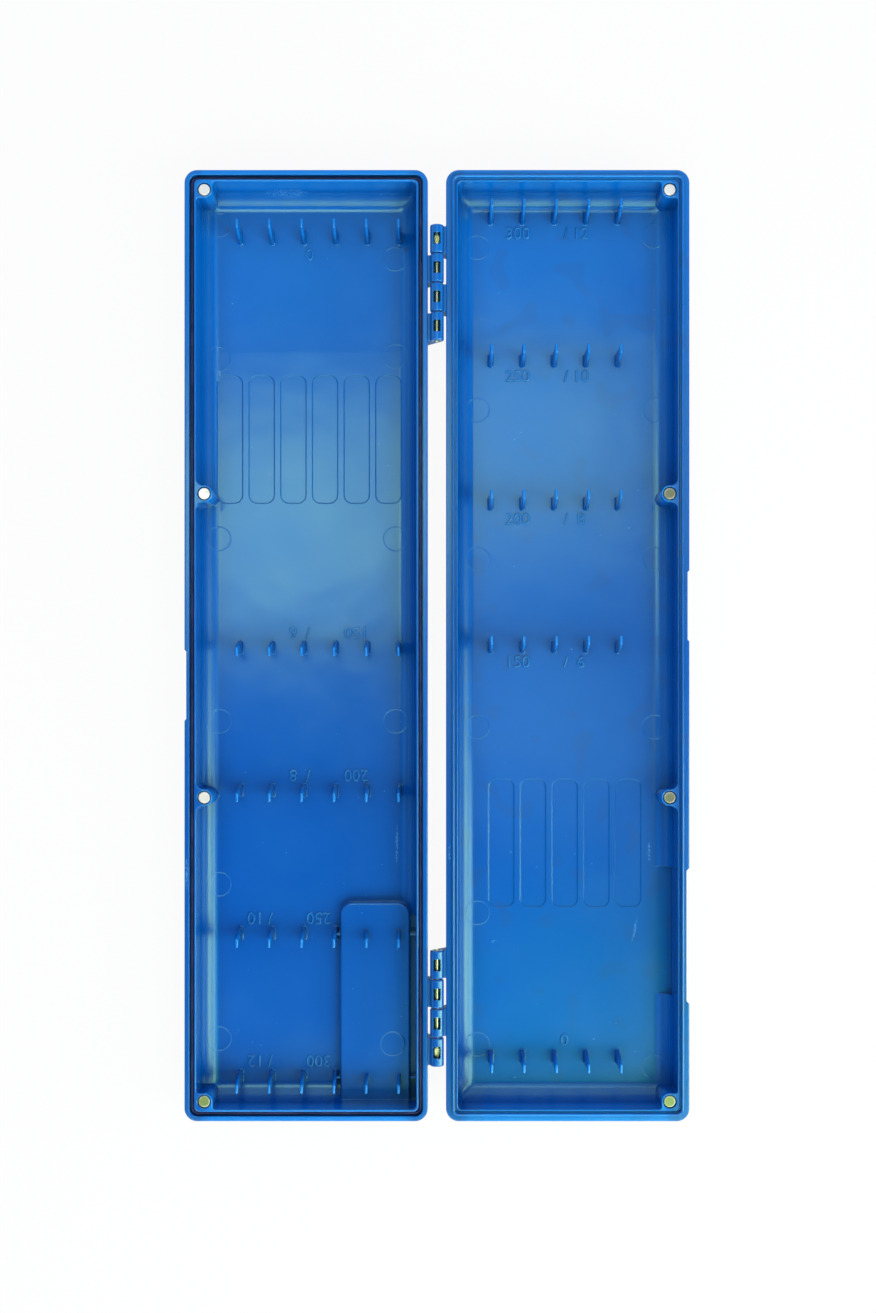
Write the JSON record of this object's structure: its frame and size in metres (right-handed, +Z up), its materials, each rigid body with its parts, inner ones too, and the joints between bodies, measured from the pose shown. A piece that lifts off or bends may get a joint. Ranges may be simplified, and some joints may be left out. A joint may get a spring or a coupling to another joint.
{
  "type": "fishing rig box",
  "caption": "Long flat moulded tackle box that opens flat on a side hinge, with rows of tapered pegs for stretched fishing rigs, a sealed rim and magnet catches.",
  "frame": {"origin": "on the surface that the opened box lies on, under the middle of the hinge line", "axes": "+Y along the hinge line towards the base's hook row, +X from the base to the lid, +Z up out of the open trays"},
  "size_m": [0.172, 0.324, 0.0203],
  "materials": {
    "blue_plastic": "satin moulded",
    "seal_rubber": "matte",
    "pin_steel": "drawn wire",
    "nickel": "nickel plated"
  },
  "bodies": {
    "base": {"base_tray": "blue_plastic", "seal_cord": "seal_rubber", "base_magnet_1": "nickel", "base_magnet_2": "nickel", "base_magnet_3": "nickel", "base_magnet_4": "nickel", "lower_hinge_pin": "pin_steel"},
    "lid": {"lid_tray": "blue_plastic", "lid_magnet_1": "nickel", "lid_magnet_2": "nickel", "lid_magnet_3": "nickel", "lid_magnet_4": "nickel", "upper_hinge_pin": "pin_steel"}
  },
  "joints": [
    {"name": "lid_hinge", "type": "hinge", "parent": "base", "child": "lid", "pos_m": [0, 0, 0.018], "axis": [0, -1, 0], "range_deg": [0, 180]}
  ]
}
